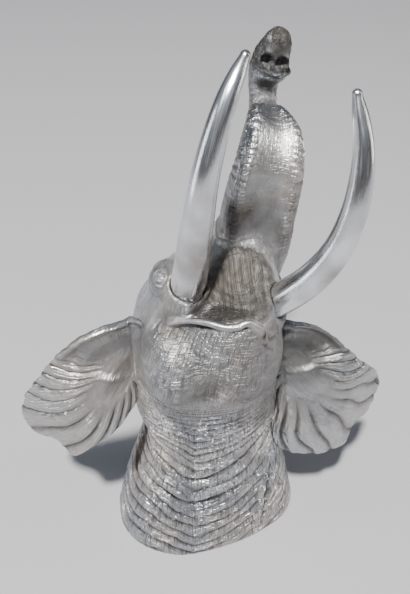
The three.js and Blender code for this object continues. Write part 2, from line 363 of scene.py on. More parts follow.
def add_face(points, cast):
    """Adds the tusk sockets, the mouth and the lip to the field near the face."""
    sockets = {name: socket_form(points, name) for name in SOCKET_FILLETS}
    for name, fillet in SOCKET_FILLETS.items():
        cast = blend_min(cast, sockets[name][0], fillet)
    cast = blend_max(cast, -oval(points, *MOUTH), 4)
    to_lip, _ = nearest_on_path(points, LIP_PATH)
    cast = blend_min(cast, to_lip - LIP_RADIUS, 4)
    for _, distance, along, share in sockets.values():
        bore = np.maximum(distance - tusk_radius(share) - BORE_GAP, SOCKET_RIM - RIM_DEPTH - along)
        cast = np.maximum(cast, -bore)
    return cast


def add_snout(points, cast):
    """Adds the finger, the flared rim and the two nostrils to the field at the trunk's end."""
    to_rim, _ = nearest_on_path(points, SNOUT_RIM)
    cast = blend_min(cast, oval(points, *FINGER), 9)
    cast = blend_min(cast, oval(points, *SKIRT), 8)
    cast = blend_min(cast, to_rim - SNOUT_RIM_RADIUS, 4)
    inner, outer = NOSTRIL_WALL
    for centre in NOSTRILS:
        reach = np.linalg.norm(points - centre, axis=1)
        cast = blend_min(cast, np.maximum(reach - outer, inner - reach), 3)
        cast = blend_max(cast, -oval(points, centre + BOWL_FORWARD, NOSTRIL_BOWL), 3)
    return cast


def casting_form(points):
    """The whole casting as a field that is negative inside."""
    y, z = points[:, 1], points[:, 2]
    form = neck_form(points)
    for centre, radii, fillet in ROUND_FORMS:
        form = blend_min(form, oval(points, centre, radii), fillet)
    form = blend_max(form, -oval(points, *SCOOP), 12)
    near_trunk = z > TRUNK_REGION_LOW
    trunk = np.full(len(points), FAR_FROM_TRUNK)
    trunk[near_trunk] = trunk_form(points[near_trunk])
    form = blend_min(form, trunk, 22)
    for brow in BROWS:
        form = blend_min(form, oval(points, brow, BROW_RADII), 12)
    near_face = (z > FACE_REGION[0]) & (z < FACE_REGION[1]) & (y < FACE_REGION_BACK)
    form[near_face] = add_face(points[near_face], form[near_face])
    near_tip = z > TIP_REGION_LOW
    form[near_tip] = add_snout(points[near_tip], form[near_tip])
    return np.maximum(form, -z)


# Drawing a skin on the field

CORNERS = np.array([(i, j, k) for i in (0, 1) for j in (0, 1) for k in (0, 1)])
CELL_EDGES = [(a, b) for a in range(8) for b in range(a + 1, 8) if np.abs(CORNERS[a] - CORNERS[b]).sum() == 1]
BLOCK = 8
BLOCKS_AT_ONCE = 400
BLOCK_REACH = 1.6


def field_near_skin(form, low, high, step):
    """The field on a grid, worked out only in the blocks of cells that the skin may cross."""
    blocks = np.ceil((np.array(high) - low) / (step * BLOCK)).astype(int)
    ticks = [np.arange(count) for count in blocks]
    corners = np.stack(np.meshgrid(*ticks, indexing="ij"), axis=-1).reshape(-1, 3) * BLOCK
    rough = form(low + (corners + BLOCK / 2) * step)
    far = np.abs(rough) > step * BLOCK * BLOCK_REACH
    field = np.full(blocks * BLOCK + 1, 1.0, np.float32)
    for (i, j, k), value in zip(corners[far], rough[far]):
        field[i:i + BLOCK + 1, j:j + BLOCK + 1, k:k + BLOCK + 1] = math.copysign(1.0, value)
    span = np.arange(BLOCK + 1)
    offsets = np.stack(np.meshgrid(span, span, span, indexing="ij"), axis=-1).reshape(-1, 3)
    near = corners[~far]
    for start in range(0, len(near), BLOCKS_AT_ONCE):
        cells = (near[start:start + BLOCKS_AT_ONCE, None, :] + offsets).reshape(-1, 3)
        field[tuple(cells.T)] = form(low + cells * step)
    return field


def skin_of(form, low, high, step):
    """A closed skin of quads where the field crosses zero."""
    low = np.array(low, float)
    field = field_near_skin(form, low, high, step)
    shape = np.array(field.shape)
    inside = field < 0
    count = np.zeros(shape - 1, np.int8)
    for i, j, k in CORNERS:
        count += inside[i:shape[0] - 1 + i, j:shape[1] - 1 + j, k:shape[2] - 1 + k]
    cells = np.argwhere((count > 0) & (count < 8))
    ids = np.full(shape - 1, -1, np.int32)
    ids[tuple(cells.T)] = np.arange(len(cells))
    corner = np.stack([field[tuple((cells + c).T)] for c in CORNERS], axis=1)
    total = np.zeros((len(cells), 3))
    hits = np.zeros(len(cells))
    for a, b in CELL_EDGES:
        crossed = (corner[:, a] < 0) != (corner[:, b] < 0)
        t = corner[crossed, a] / (corner[crossed, a] - corner[crossed, b])
        total[crossed] += CORNERS[a] + t[:, None] * (CORNERS[b] - CORNERS[a])
        hits[crossed] += 1
    vertices = low + (cells + total / hits[:, None]) * step
    return vertices, np.vstack([quad for axis in range(3) for quad in skin_quads(inside, ids, axis)])


def skin_quads(inside, ids, axis):
    """Quads round the grid edges along one axis that the skin crosses, facing outward."""
    u, v = (axis + 1) % 3, (axis + 2) % 3
    first = [slice(1, -1)] * 3
    first[axis] = slice(0, -1)
    second = list(first)
    second[axis] = slice(1, None)
    here, there = inside[tuple(first)], inside[tuple(second)]
    for inner_first in (True, False):
        at = np.argwhere((here != there) & (here == inner_first))
        at[:, u] += 1
        at[:, v] += 1
        ring = []
        for du, dv in ((1, 1), (0, 1), (0, 0), (1, 0)):
            cell = at.copy()
            cell[:, u] -= du
            cell[:, v] -= dv
            ring.append(ids[tuple(cell.T)])
        quad = np.stack(ring, axis=1)
        yield quad if inner_first else quad[:, ::-1]


SLOPE_REACH = 0.4
LONGEST_MOVE = 1.5


def field_slope(form, points):
    slope = np.empty_like(points)
    for axis in range(3):
        step = np.zeros(3)
        step[axis] = SLOPE_REACH
        slope[:, axis] = (form(points + step) - form(points - step)) / (2 * SLOPE_REACH)
    return slope


def settle(form, points):
    """Moves points onto the field's zero surface and returns them with their outward normals."""
    for _ in range(2):
        slope = field_slope(form, points)
        steepness = np.maximum(np.einsum("ij,ij->i", slope, slope), 0.15)
        move = form(points) / steepness
        points = points - np.clip(move, -LONGEST_MOVE, LONGEST_MOVE)[:, None] * slope
    slope = field_slope(form, points)
    return points, slope / np.maximum(np.linalg.norm(slope, axis=1), 1e-6)[:, None]


# Relief of the casting: folds of the neck, creases of the jaw, lids and trunk rings

FOLD_PITCH = 27
FOLD_CLOSING = 0.048
FOLD_APEX = -0.32
FOLD_HEIGHT = 3.6
RISE_RIGHT = 66
RISE_LEFT = 44
RISE_BACK = 38

# The deepest folds, the hollow at the neck's side and the crease by the mouth, as lines on the skin.
DEEP_FOLDS = [
    [(80, -54, 260), (49, -77, 223), (13, -85, 199), (-29, -84, 182), (-61, -67, 201), (-77, -46, 210)],
    [(88, -56, 200), (66, -72, 175), (24, -88, 151), (-30, -90, 133), (-68, -73, 149), (-94, -40, 156)],
    [(112, -47, 92), (71, -78, 72), (20, -91, 34)],
    [(81, -51, 250), (88, -58, 174), (82, -72, 100), (78, -77, 30)],
]
FOLD_POINTS = 24
HOLLOW = [(-96, -8, 222), (-103, -6, 180), (-111, -6, 138)]
MOUTH_CORNER = [(52, -124, 512), (46, -128, 500), (40, -132, 488), (34, -135, 480)]
TRUNK_LENGTH = 420
RING_PITCH = 7.5
BORDER_PITCH = 5.2

# Hide coordinates in millimetres: for each radian round the neck, and for each fold down it.
HIDE_RADIUS = 110
HIDE_FOLD_SPAN = 17

# How much of the chased lines shows on each part.
LINED_FACE = 0.62
LINED_TRUNK = 0.55
LINED_STRIP = 0.18
LINED_BORDER = 0.6
LINED_PALATE = 0.65


def ridge(phase, sharpness=0.6):
    """Rounded ridges parted by narrow grooves at each whole number."""
    return np.abs(np.sin(math.pi * phase)) ** sharpness - 0.7


def distance_to(points, path):
    return nearest_on_path(points, smooth_path(path, FOLD_POINTS))[0]


def fold_level(points):
    """Height at the throat's centre of the fold through each point: folds hang between the shoulders."""
    x, y, z = points.T
    turn = np.arctan2(x, -y) - FOLD_APEX
    rise = RISE_RIGHT * (np.clip(turn, 0, 1.6) / 1.3) ** 1.6
    rise += RISE_LEFT * (1 - np.exp(-np.maximum(-turn, 0) / 0.5))
    rise += (RISE_BACK - rise) * ease(1.7, 2.7, np.abs(turn))
    return z - rise * ease(345, 240, z)


def neck_relief(points):
    """Folds that close up towards the foot of the neck, and the phase they follow."""
    level = np.clip(fold_level(points), -200, 400)
    drift = 0.2 * waves(points, 110, 11) + 0.1 * waves(points, 38, 12)
    phase = -np.log(1 - FOLD_CLOSING * level / FOLD_PITCH) / FOLD_CLOSING + drift
    height = (0.8 + 0.2 * waves(points, 60, 15)) * (0.95 + 0.6 * ease(300, 60, level))
    height *= 1 - 0.55 * ease(1.7, 2.4, np.abs(np.arctan2(points[:, 0], -points[:, 1])))
    major = FOLD_HEIGHT * ridge(phase, 0.5) * height
    minor = 0.8 * ridge(phase * 4 + 0.3 * waves(points, 50, 13), 0.8)
    upright = 0.28 * waves(points * np.array([1, 1, 0.08]), 7, 14)
    return major + minor + upright, phase


def jaw_relief(points):
    """Fine creases round the two jaw lobes, and crumpled skin by the corner of the mouth."""
    x, y, z = points.T
    left_lobe = np.hypot(x + 52, (z - 436) * 0.9)
    right_lobe = np.hypot(x - 38, (z - 426) * 0.9)
    ring = np.minimum(left_lobe, right_lobe) / 6.5 + 0.35 * waves(points, 40, 21)
    corner = bell(np.hypot(x - 59, (z - 478) * 0.7), 13) * ease(-60, -85, y)
    crumpled = 2.4 * ridge((x + 0.5 * z) / 8.5 + 0.5 * waves(points, 22, 23), 0.8) * corner
    return 0.45 * ridge(ring, 0.9) * (1 - corner) + 0.25 * waves(points, 13, 22) + crumpled


def lid_relief(points):
    """An eyeball between almond lids, with folds of loose skin round them."""
    relief = np.zeros(len(points))
    for centre in EYES:
        gap = points - np.array(centre, float)
        long_way = gap @ LATERAL
        other = gap - long_way[:, None] * LATERAL
        short_way = np.linalg.norm(other, axis=1)
        almond = np.hypot(long_way * 0.52, short_way * (1 + 0.02 * np.abs(long_way)))
        ball = 2.6 * np.sqrt(np.maximum(1 - (almond / 6.5) ** 2, 0))
        lids = -1.9 * bell(almond - 7.3, 1.4) + 2.1 * bell(almond - 10, 1.8) - 1.2 * bell(almond - 13, 1.5)
        bag = np.hypot(long_way * 0.75, short_way) + 2.2 * waves(points, 26, 45)
        folds = 0.9 * bell(bag - 20, 1.9) - 0.8 * bell(bag - 23.5, 1.7) + 0.6 * bell(bag - 27, 1.8)
        relief += ball + lids + folds
    return relief


def trunk_relief(points, u, v, share):
    """Rings on the trunk's outer side, ribs on the borders of its underside and nicks along its edge."""
    rings = ridge(share * TRUNK_LENGTH / RING_PITCH + 0.25 * waves(points, 36, 31), 0.7)
    from_edge = trunk_width(share) - np.abs(u)
    strip = ease(0.74, 0.66, share)
    underside = ease(0.25, 0.6, v / trunk_depth(share)) * strip
    on_border = bell(from_edge - BORDER_WIDTH * 0.8, BORDER_WIDTH * 0.6)
    border_phase = share * TRUNK_LENGTH / BORDER_PITCH + 0.2 * waves(points, 20, 32)
    border_ribs = 1.7 * ridge(border_phase, 0.8) * on_border
    centre_marks = 0.3 * waves(points, 16, 33)
    nicks = -2.2 * clamp01(np.sin(share * 250 + 2 * waves(points, 40, 35)) - 0.55) * bell(from_edge, 5)
    outside = 1.05 * rings + 0.35 * waves(points, 11, 34)
    return outside * (1 - underside) + (border_ribs + centre_marks) * underside + nicks * strip


def recesses(points, normals):
    """How shut in each point is by the forms around it, from 0 in the open to 1 in a crevice; it sets the
    painted shade in recesses.
    """
    near = clamp01(casting_form(points + normals * 8) / 8)
    wide = clamp01(casting_form(points + normals * 26) / 26)
    return 1 - 0.45 * near - 0.55 * wide


def carved_height(points, neck, trunk, on_neck, on_trunk):
    """Height of the whole carving before it fades at the foot, the lip and the sockets."""
    off_trunk = 1 - on_trunk
    relief = neck * on_neck * ease(0, 6, points[:, 2])
    relief += jaw_relief(points) * (1 - on_neck) * off_trunk
    relief += lid_relief(points) * off_trunk
    relief += (0.5 * waves(points, 15, 41)) * (1 - on_neck) * ease(-10, 30, points[:, 1]) * off_trunk
    relief += trunk * on_trunk
    for path in DEEP_FOLDS:
        near = distance_to(points, path)
        relief += (2.4 * bell(near - 8, 6) - 3.4 * bell(near, 4.5)) * on_neck
    relief -= 7 * bell(distance_to(points, HOLLOW), 15)
    relief -= 3.0 * bell(distance_to(points, MOUTH_CORNER), 2.2)
    return relief


def in_palate(points):
    """Points on the palate, under the scoop of the open mouth."""
    _, y, z = points.T
    return (in_oval(points, *SCOOP) < 1.12) & (z > 480) & (z < 600) & (y < 20)


def casting_shade_and_lines(points, normals, trunk_place, on_trunk, on_neck, on_lip):
    """How dark the metal is and how much of the chased lines shows, at each point. The darkening is painted
    shade in recesses, the mouth, the palate, the nostrils and the jaw's left side, with a darker upper trunk,
    trunk end and strip.
    """
    x, y, z = points.T
    u, v, share = trunk_place
    in_strip = on_trunk * ease(0.74, 0.66, share) * ease(0.2, 0.5, v / trunk_depth(share))
    border = bell(trunk_width(share) - np.abs(u) - 5, 9)
    lined = np.where(on_trunk > 0.5, LINED_TRUNK, LINED_FACE + (1 - LINED_FACE) * on_neck)
    lined += (LINED_STRIP + LINED_BORDER * border - lined) * in_strip
    lined = np.where(in_palate(points), LINED_PALATE, lined) * (1 - 0.9 * on_lip)

    # Painted shade on the palate, in the scoop under the trunk.
    scooped = ease(1.3, 1.08, in_oval(points, *SCOOP)) * ease(30, 0, y)
    scooped *= ease(478, 492, z) * ease(632, 590, z)
    at_tip = ease(700, 705, z + 0.3 * (x - 84)) * ease(20, 40, y)
    shades = [
        0.3 * on_trunk * ease(0.64, 0.7, share),
        (0.87 + 0.1 * waves(points, 10, 42)) * at_tip,
        # painted shade in recesses
        0.85 * ease(0.1, 0.6, recesses(points, normals)),
        # painted shade inside the mouth
        0.9 * ease(1.2, 0.9, in_oval(points, *MOUTH)) * ease(530, 515, z),
        # painted shade on the palate
        (0.84 + 0.07 * waves(points, 9, 43)) * scooped,
        (0.3 + 0.16 * waves(points, 34, 44)) * in_strip * ease(625, 600, z),
    ]
    # painted shade in the nostril pits
    shades += [0.74 * ease(14, 10, np.linalg.norm(points - centre, axis=1)) for centre in NOSTRILS]
    # Painted shade on the jaw's left side.
    painted_jaw_shade = ease(-20, 25, x) * ease(372, 400, z) * ease(520, 490, z) * (1 - on_trunk)
    darkened = np.maximum(np.maximum.reduce(shades) * (1 - on_lip), 0.5 * painted_jaw_shade)
    return np.stack([darkened, lined], axis=1)


def casting_relief(points, normals):
    """The carving's height, the hide coordinates that the finish follows, and the painted shade, darker tone
    and line wear at each point.
    """
    x, y, z = points.T
    u, v, _, share = trunk_local(points)
    on_trunk = ease(7, 2, trunk_form(points)) * ease(505, 540, z)
    neck_limit = np.where(y < -40, 372, 320)
    on_neck = ease(8, -22, z - neck_limit) * (1 - on_trunk)
    on_lip = ease(7.5, 5, nearest_on_path(points, LIP_PATH)[0]) * (y < -70)
    neck, phase = neck_relief(points)
    relief = carved_height(points, neck, trunk_relief(points, u, v, share), on_neck, on_trunk)

    trunk_skin = on_trunk > 0.5
    face = (~trunk_skin) & (on_neck < 0.5)
    palate = in_palate(points)
    around = np.arctan2(y, x - middle(z)) * HIDE_RADIUS
    hide = np.stack([around, phase * HIDE_FOLD_SPAN, relief], axis=1)
    hide[trunk_skin, 0] = u[trunk_skin]
    hide[trunk_skin, 1] = share[trunk_skin] * TRUNK_LENGTH
    hide[face, 1] = z[face]
    hide[palate, 0] = x[palate]
    hide[palate, 1] = (z - y)[palate]

    in_socket = np.zeros(len(points), bool)
    for name in TUSK_PATHS:
        _, distance, along, tusk_share = socket_form(points, name)
        from_tusk = distance - tusk_radius(tusk_share)
        in_socket |= (from_tusk < 1.5) & (along < SOCKET_RIM + 4)
        relief = np.where(np.abs(from_tusk) < 6, relief * 0.3, relief)
    relief[in_socket] = 0
    relief *= ease(0.2, 3.0, z) * (1 - on_lip)
    return relief, hide, casting_shade_and_lines(points, normals, (u, v, share), on_trunk, on_neck, on_lip)


# Meshes

def add_piece(name, vertices, faces, hide, shade_and_wear):
    """A mesh object in metres, made from millimetre points."""
    mesh = bpy.data.meshes.new(name)
    mesh.from_pydata((vertices * MM).tolist(), [], faces)
    layer = mesh.attributes.new("hide", "FLOAT_VECTOR", "POINT")
    layer.data.foreach_set("vector", np.asarray(hide, np.float32).ravel())
    for column, key in enumerate(("darkened", "lined")):
        layer = mesh.attributes.new(key, "FLOAT", "POINT")
        layer.data.foreach_set("value", np.ascontiguousarray(shade_and_wear[:, column], np.float32))
    mesh.shade_smooth()
    piece = bpy.data.objects.new(name, mesh)
    bpy.context.scene.collection.objects.link(piece)
    return piece


def closed_tube(rings, sides, first, start, end):
    """Faces of a tube whose rings begin at vertex first, closed by the vertices start and end."""
    side = np.arange(sides)
    following = (side + 1) % sides
    faces = []
    for ring in range(rings - 1):
        near = first + ring * sides
        far = near + sides
        faces += np.stack([near + side, near + following, far + following, far + side], axis=1).tolist()
    last = first + (rings - 1) * sides
    faces += np.stack([start + 0 * side, first + following, first + side], axis=1).tolist()
    faces += np.stack([end + 0 * side, last + side, last + following], axis=1).tolist()
    return faces


def thin_out(piece, triangles):
    """Collapses the smallest edges until the piece holds at most this many triangles."""
    count = sum(len(face.vertices) - 2 for face in piece.data.polygons)
    if count <= triangles:
        return
    thinner = piece.modifiers.new("thinner", "DECIMATE")
    thinner.ratio = triangles / count
    graph = bpy.context.evaluated_depsgraph_get()
    mesh = bpy.data.meshes.new_from_object(piece.evaluated_get(graph))
    piece.modifiers.clear()
    piece.data = mesh
    mesh.shade_smooth()


CASTING_LOW = (-150, -148, -3)
CASTING_HIGH = (150, 120, 752)


def build_casting(step, triangles):
    vertices, faces = skin_of(casting_form, CASTING_LOW, CASTING_HIGH, step)
    vertices, normals = settle(casting_form, vertices)
    relief, hide, shade_and_wear = casting_relief(vertices, normals)
    vertices = vertices + normals * relief[:, None]
    vertices[:, 2] = np.maximum(vertices[:, 2], 0)
    piece = add_piece("head_casting", vertices, faces.tolist(), hide, shade_and_wear)
    thin_out(piece, triangles)
    return piece


# Ears: each sheet spreads from a hub at the ear's root to its rim

EARS = {
    "right": {
        "hub": (-104, 372),
        "rim": [
            (-80, 440), (-109, 456), (-141, 455), (-171, 432), (-198, 393), (-220, 353), (-245, 303),
            (-255, 250), (-240, 230), (-213, 238), (-194, 213), (-158, 244), (-126, 268), (-105, 290),
            (-86, 318),
        ],
        "seed": 51,
        "bowl_shade": 0.25,
    },
    "left": {
        "hub": (108, 350),
        "rim": [
            (84, 412), (117, 427), (145, 414), (178, 376), (208, 335), (243, 286), (260, 250), (259, 205),
            (247, 178), (226, 188), (213, 152), (176, 160), (133, 170), (100, 178), (91, 209), (84, 262),
        ],
        "seed": 61,
        "bowl_shade": 0.55,
    },
}
EAR_THICKNESS = 9
EAR_REACH = 160
EAR_ROOT = 95
RAYS_PER_RADIAN = 5.2
RAY_HEIGHT = 4.6
ROLL_HEIGHT = 5.5
BOWL_DEPTH = 10
HIDE_BEARING_SPAN = 95


def ear_sheet(x, z, hub):
    """How far back the middle of the cupped sheet lies."""
    out = clamp01((np.abs(x) - EAR_ROOT) / EAR_REACH)
    low = clamp01((hub[1] - z) / EAR_REACH)
    return -22 - 26 * np.sin(math.pi * out ** 0.8) + 26 * out ** 2 - 16 * low * (1 - out)


def ear_folds(x, z, hub, bearing, reach, seed):
    """Folds that fan out from the ear's root, a rolled upper rim and a bowl by the root."""
    lower = ease(0.7, 0.0, bearing)
    spots = np.stack([x, z, np.full_like(x, seed)], axis=-1)
    fan = bearing * RAYS_PER_RADIAN + 0.28 * waves(spots, 130, seed) + 0.9 * reach * (1 - reach)
    fade = ease(0.3, 0.62, reach)
    folds = RAY_HEIGHT * (np.abs(np.sin(math.pi * fan)) ** 0.85 - 0.6) * lower * fade
    swell = 3.4 * waves(spots, 105, seed + 4) * ease(0.1, 0.4, reach)
    fine = (np.abs(np.sin(math.pi * (fan * 3 + 0.2 * waves(spots, 60, seed + 2)))) - 0.6) * fade
    upper = ease(0.1, 0.6, bearing)
    roll = -ROLL_HEIGHT * ease(0.84, 0.97, reach) * upper
    channel = 3 * bell(reach - 0.78, 0.08) * upper
    bowl = BOWL_DEPTH * bell(np.hypot(np.abs(x) - 133, z - hub[1] - 24), 25)
    ridges = -4.5 * bell(z - hub[1] + 12 - 0.35 * (np.abs(x) - 112), 5) * bell(np.abs(x) - 126, 24)
    grain = 0.35 * waves(spots, 14, seed + 1)
    carved = folds + fine * (0.3 + 0.7 * lower)
    return -carved + swell + roll + channel + bowl + ridges + grain, carved


def build_ear(side, rows, columns):
    ear = EARS[side]
    hub = ear["hub"]
    rim = smooth_path([(x, 0, z) for x, z in ear["rim"]], columns + 1, closed=True)[:-1]
    turn = np.arange(columns) * 2 * math.pi / columns
    scallop = 0.988 + 0.007 * np.sin(turn * 17) + 0.004 * np.sin(turn * 41 + 1)
    reach = np.linspace(1 / rows, 1, rows)[:, None]
    x = hub[0] + (rim[:, 0] - hub[0]) * scallop * reach
    z = hub[1] + (rim[:, 2] - hub[1]) * scallop * reach
    bearing = np.arctan2(z - hub[1], np.abs(x) - abs(hub[0]))
    folds, carved = ear_folds(x, z, hub, bearing, reach, ear["seed"])
    mid = ear_sheet(x, z, hub) + folds * ease(1.02, 0.97, reach)
    round_edge = np.sqrt(np.maximum(1 - ease(0.955, 1.0, reach) ** 2 * 0.92, 0))
    thick = EAR_THICKNESS * (1 - 0.5 * reach ** 2) * round_edge
    front = np.stack([x, mid - thick / 2, z], axis=-1)
    back = np.stack([x, mid + thick / 2, z], axis=-1)
    middle_front = np.array([[hub[0], front[0, :, 1].mean(), hub[1]]])
    middle_back = np.array([[hub[0], back[0, :, 1].mean(), hub[1]]])
    vertices = np.vstack([middle_front, front.reshape(-1, 3), back[::-1].reshape(-1, 3), middle_back])
    faces = closed_tube(2 * rows, columns, 1, 0, len(vertices) - 1)
    if side == "right":
        faces = [face[::-1] for face in faces]

    distance = np.hypot(x - hub[0], z - hub[1])
    slant = (np.abs(x) + z) * 0.7
    across = slant + (bearing * HIDE_BEARING_SPAN - slant) * ease(0.3, 0.6, reach)
    face = np.stack([distance, across, carved * 0.75], axis=-1)
    hide = np.zeros((len(vertices), 3))
    hide[1:-1] = np.vstack([face.reshape(-1, 3), (face * (1, 1, -1))[::-1].reshape(-1, 3)])
    # Painted shade in each ear's bowl and near its root; the left ear's deeper bowl shade is a painted shadow
    # of the tusk.
    bowl_shade = ear["bowl_shade"] * ease(66, 30, np.hypot(np.abs(x) - 138, z - hub[1] - 22))
    shade = np.maximum(bowl_shade, 0.5 * ease(0.3, 0.12, reach))
    shade_and_wear = np.tile([0.0, 1.0], (len(vertices), 1))
    shade_and_wear[1:-1, 0] = np.concatenate([shade.ravel(), shade[::-1].ravel()])
    return add_piece("ear_" + side, vertices, faces, hide, shade_and_wear)


# Tusks

TIP_ROUND = 4.8
TIP_POINT = 0.3
TIP_LENGTH = 8
TIP_ROWS = 12
CAP_SHARES = (0.72, 0.35)
RIM_GROOVE = 0.5
HIDE_TUSK_RADIUS = 16


def build_tusk(name, rows, sides):
    path = TUSK_PATHS[name]
    length = np.linalg.norm(np.diff(path, axis=0), axis=1).sum()
    alongs = np.concatenate([
        np.linspace(TUSK_START, length - TIP_LENGTH, rows - TIP_ROWS),
        length - TIP_LENGTH * np.linspace(0.9, 0, TIP_ROWS) ** 2,
    ])
    shares = alongs / length
    centres = on_path(path, shares)
    _, across, outward = path_frame(centres, np.array([1.0, 0, 0]))
    turn = np.arange(sides) * 2 * math.pi / sides
    rings = []
    for i, along in enumerate(alongs):
        to_end = length - along + TIP_POINT
        if to_end < TIP_ROUND:
            radius = np.full(sides, math.sqrt(TIP_ROUND ** 2 - (TIP_ROUND - to_end) ** 2))
        else:
            uneven = 1 + 0.012 * np.sin(turn * 3 + along / 40) + 0.008 * np.sin(turn * 2 - along / 23)
            radius = tusk_radius(shares[i]) * uneven - RIM_GROOVE * bell(along - SOCKET_RIM - 1.5, 1.2)
            radius = np.maximum(radius, TIP_ROUND)
        offset = np.cos(turn)[:, None] * across[i] + np.sin(turn)[:, None] * outward[i]
        rings.append(centres[i] + radius[:, None] * offset)
    step = centres[-1] - centres[-2]
    tip = centres[-1] + step / np.linalg.norm(step) * TIP_POINT
    rings += [tip + (rings[rows - 1] - tip) * share for share in CAP_SHARES]
    count = len(rings)
    body = count * sides
    vertices = np.vstack(rings + [centres[:1], [tip]])
    faces = closed_tube(count, sides, 0, body, body + 1)
    hide = np.zeros((len(vertices), 3))
    hide[:body, 0] = np.tile(turn * HIDE_TUSK_RADIUS, count)
    hide[:body, 1] = np.repeat(np.concatenate([shares, np.ones(len(CAP_SHARES))]) * length, sides)
    shade_and_wear = np.tile([0.0, 1.0], (len(vertices), 1))
    return add_piece(name + "_polished", vertices, faces, hide, shade_and_wear)


# Shader node helpers

def feed(tree, socket, value):
    """Sets a socket to a plain value, or links another node's output to it."""
    if isinstance(value, bpy.types.NodeSocket):
        tree.links.new(value, socket)
    else:
        socket.default_value = value


def node(tree, kind, place, inputs=None, **settings):
    """A shader node with its settings, and its inputs by name or number."""
    made = tree.nodes.new(kind)
    made.location = place
    for key, value in settings.items():
        setattr(made, key, value)
    for key, value in (inputs or {}).items():
        feed(tree, made.inputs[key], value)
    return made


def maths(tree, place, operation, first, second):
    return node(tree, "ShaderNodeMath", place, {0: first, 1: second}, operation=operation).outputs[0]


def noise(tree, place, vector, scale, detail, roughness=0.5, dimensions="3D"):
    """The value of a noise texture."""
    inputs = {"Vector": vector, "Scale": scale, "Detail": detail, "Roughness": roughness}
    return node(tree, "ShaderNodeTexNoise", place, inputs, noise_dimensions=dimensions).outputs["Fac"]


def stretched(tree, place, vector, factors):
    return node(tree, "ShaderNodeVectorMath", place, {0: vector, 1: factors}, operation="MULTIPLY").outputs[0]


def spread(tree, place, value, from_low, from_high, to_low=0.0, to_high=1.0, **settings):
    """A value mapped from one range to another."""
    inputs = {"Value": value, "From Min": from_low, "From Max": from_high}
    inputs.update({"To Min": to_low, "To Max": to_high})
    return node(tree, "ShaderNodeMapRange", place, inputs, **settings).outputs["Result"]


def colour_ramp(tree, place, value, low, high, *between):
    """A colour ramp through (position, colour) stops."""
    made = node(tree, "ShaderNodeValToRGB", place, {"Fac": value})
    elements = made.color_ramp.elements
    for element, (position, colour) in zip(list(elements), (low, high)):
        element.position = position
        element.color = colour
    for position, colour in between:
        elements.new(position).color = colour
    return made.outputs["Color"]


def colour_mix(tree, place, factor, first, second, **settings):
    inputs = {"Factor": factor, "A": first, "B": second}
    return node(tree, "ShaderNodeMix", place, inputs, data_type="RGBA", **settings).outputs["Result"]


def object_place(tree, place):
    return node(tree, "ShaderNodeTexCoord", place).outputs["Object"]


def attribute(tree, place, name, output="Fac"):
    return node(tree, "ShaderNodeAttribute", place, attribute_name=name).outputs[output]


INPUT_KINDS = {type(None): "NodeSocketVector", float: "NodeSocketFloat", tuple: "NodeSocketColor"}


def group_shell(name, inputs, outputs):
    """An empty node group with its named inputs, which are vectors where no default is given, and outputs."""
    tree = bpy.data.node_groups.new(name, "ShaderNodeTree")
    for label, default in inputs.items():
        socket = tree.interface.new_socket(label, in_out="INPUT", socket_type=INPUT_KINDS[type(default)])
        if default is not None:
            socket.default_value = default
    for label, kind in outputs.items():
        tree.interface.new_socket(label, in_out="OUTPUT", socket_type=kind)
    entry = node(tree, "NodeGroupInput", (-900, 0))
    leave = node(tree, "NodeGroupOutput", (900, 0))
    return tree, entry.outputs, leave


# Stretch over the hide's coordinates, noise detail and the input that weighs each layer of lines.
LINE_LAYERS = [
    ((0.07, 0.9, 0.0), 1.0, "Along"),
    ((1.5, 0.1, 0.0), 1.0, "Across"),
    ((0.28, 0.42, 0.0), 3.0, None),
]
GROOVE_WIDTH = 0.075
CELL_DEPTH = 0.35


def hatching_group():
    """Grooves of the chased hide: long wrinkles, finer ones across them, and small cells between."""
    tree, given, leave = group_shell(
        "Chased hide lines",
        {"Hide": None, "Line pitch": 2.6, "Across": 0.6, "Along": 0.65},
        {"Height": "NodeSocketFloat"},
    )
    scale = maths(tree, (-700, 0), "DIVIDE", 1.0, given["Line pitch"])
    layers = []
    for number, (stretch, detail, weight) in enumerate(LINE_LAYERS):
        level = 400 - 300 * number
        vector = stretched(tree, (-650, level), given["Hide"], stretch)
        pattern = noise(tree, (-450, level), vector, scale, detail, dimensions="2D")
        from_line = maths(tree, (-250, level), "SUBTRACT", pattern, 0.5)
        width = maths(tree, (-100, level), "ABSOLUTE", from_line, 0.0)
        deep = spread(
            tree, (50, level), width, 0.0, GROOVE_WIDTH, 1.0, 0.0, interpolation_type="SMOOTHSTEP",
        )
        if weight:
            deep = maths(tree, (220, level), "MULTIPLY", deep, given[weight])
        layers.append(deep)
    both = maths(tree, (400, 200), "MAXIMUM", layers[0], layers[1])
    soft = maths(tree, (400, -200), "MULTIPLY", layers[2], CELL_DEPTH)
    depth = maths(tree, (560, 0), "MAXIMUM", both, soft)
    feed(tree, leave.inputs["Height"], maths(tree, (720, 0), "SUBTRACT", 1.0, depth))
    return tree


# The carving's height in millimetres at which the metal is darkest and brightest; the darkening in the
# creases is painted shade.
DARKEST_RELIEF = -2.7
BRIGHTEST_RELIEF = 0.7
COOL_TINT = (0.84, 0.93, 1.05, 1)
WARM_TINT = (1.1, 1.0, 0.88, 1)


